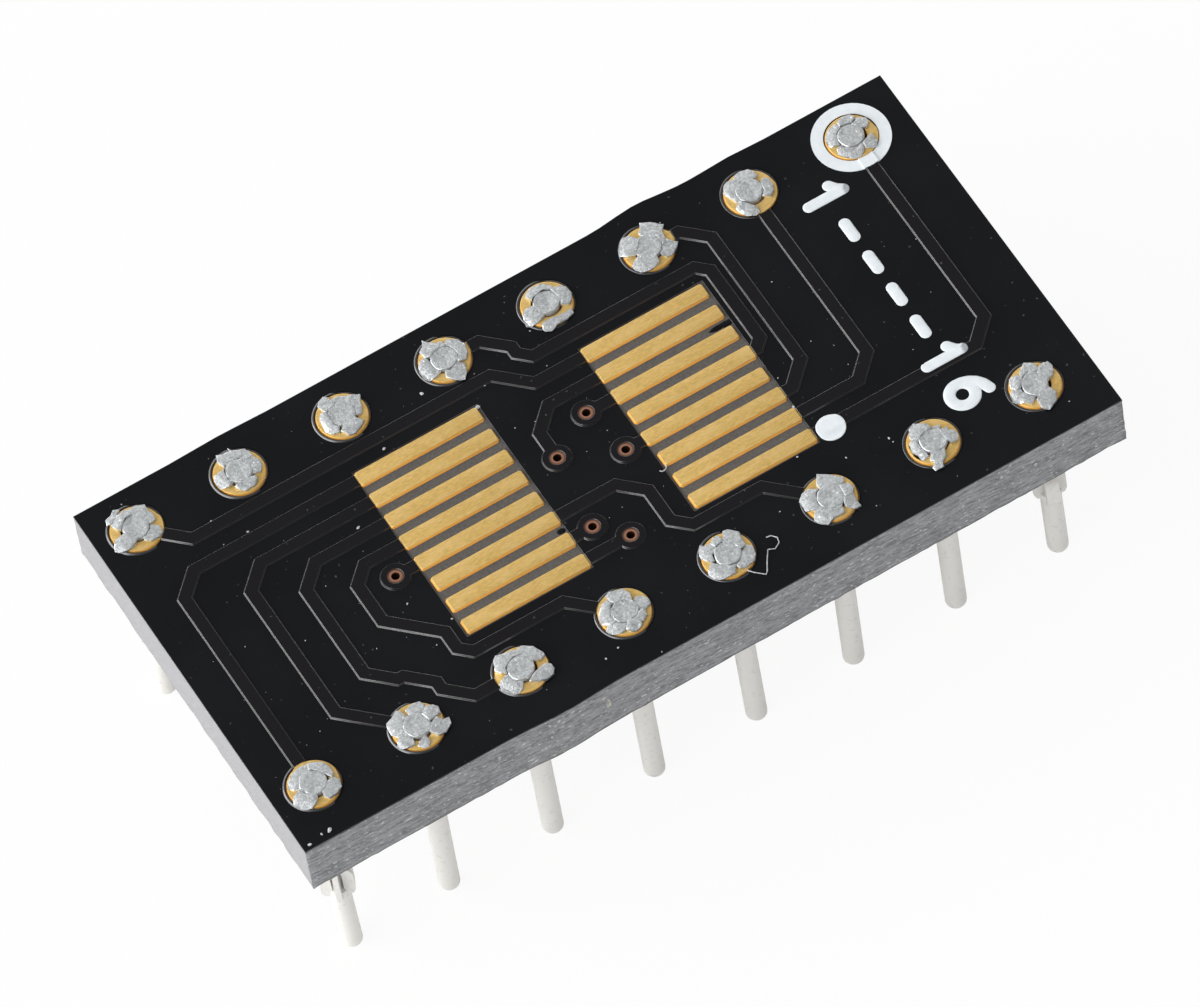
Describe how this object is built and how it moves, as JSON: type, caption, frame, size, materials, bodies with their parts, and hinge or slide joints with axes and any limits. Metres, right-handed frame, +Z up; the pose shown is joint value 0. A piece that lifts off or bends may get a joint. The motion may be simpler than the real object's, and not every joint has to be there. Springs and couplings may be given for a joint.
{
  "type": "ic socket adapter",
  "caption": "Black adapter board with two columns of gold contacts for a small-outline chip and two rows of staked round pins.",
  "frame": {"origin": "midway between the two pin rows, on the plane of the pin tips", "axes": "+X along the pin rows towards pin 1's end, +Y from the row of pins 9 to 16 to the row of pins 1 to 8, +Z up from the pin tips to the chip side"},
  "size_m": [0.0201, 0.0101, 0.0066],
  "materials": {
    "laminate": "sawn glass-epoxy",
    "solder_mask": "slightly glossy black",
    "gold": "satin gold over copper",
    "tin": "dull tin over brass",
    "white_ink": "matt"
  },
  "bodies": {
    "root": {"laminate": "laminate", "solder_mask_top": "solder_mask", "solder_mask_underside": "solder_mask", "track_1": "gold", "track_2": "gold", "track_3": "gold", "track_4": "gold", "track_5": "gold", "track_6": "gold", "track_7": "gold", "track_8": "gold", "track_9": "gold", "track_10": "gold", "track_11": "gold", "track_12": "gold", "track_13": "gold", "track_14": "gold", "track_15": "gold", "track_16": "gold", "pin_1": "tin", "pin_2": "tin", "pin_3": "tin", "pin_4": "tin", "pin_5": "tin", "pin_6": "tin", "pin_7": "tin", "pin_8": "tin", "pin_9": "tin", "pin_10": "tin", "pin_11": "tin", "pin_12": "tin", "pin_13": "tin", "pin_14": "tin", "pin_15": "tin", "pin_16": "tin", "pin_one_ring": "white_ink", "pin_one_dot": "white_ink"}
  },
  "joints": []
}
